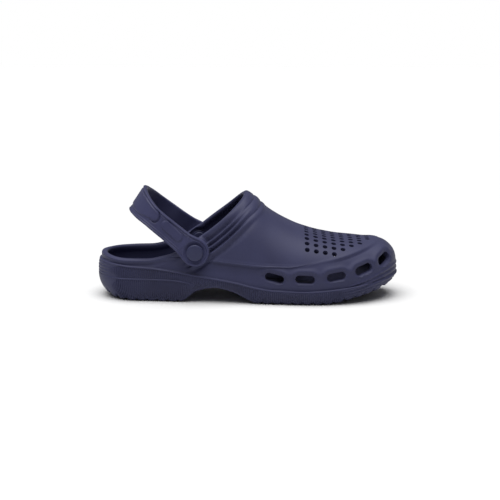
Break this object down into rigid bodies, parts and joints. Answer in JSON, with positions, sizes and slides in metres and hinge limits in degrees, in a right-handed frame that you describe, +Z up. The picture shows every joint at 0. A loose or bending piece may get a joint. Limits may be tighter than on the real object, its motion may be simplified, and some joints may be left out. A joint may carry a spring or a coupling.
{
  "type": "rubber garden clog",
  "caption": "Slip-on moulded garden clog for the right foot, with air vents round the toe and a heel strap that swings on two rivets.",
  "frame": {"origin": "on the ground, under the middle of the clog's length and width", "axes": "+X to the toe, +Y to the inner side of the foot, +Z up"},
  "size_m": [0.285, 0.103, 0.1057],
  "materials": {
    "shell_rubber": "soft satin moulded foam rubber, navy",
    "strap_rubber": "soft satin moulded foam rubber, navy",
    "rivet_plastic": "satin moulded plastic, navy",
    "washer_nylon": "matt nylon, dark navy"
  },
  "bodies": {
    "clog": {"clog_shell": "shell_rubber", "outer_rivet": "rivet_plastic", "outer_rivet_socket": "rivet_plastic", "outer_pivot_washer": "washer_nylon", "inner_rivet": "rivet_plastic", "inner_rivet_socket": "rivet_plastic", "inner_pivot_washer": "washer_nylon"},
    "strap": {"heel_strap": "strap_rubber"}
  },
  "joints": [
    {"name": "strap_swing", "type": "hinge", "parent": "clog", "child": "strap", "pos_m": [-0.0475, 0.0005, 0.049], "axis": [0, 1, 0], "range_deg": [-32, 82]}
  ]
}
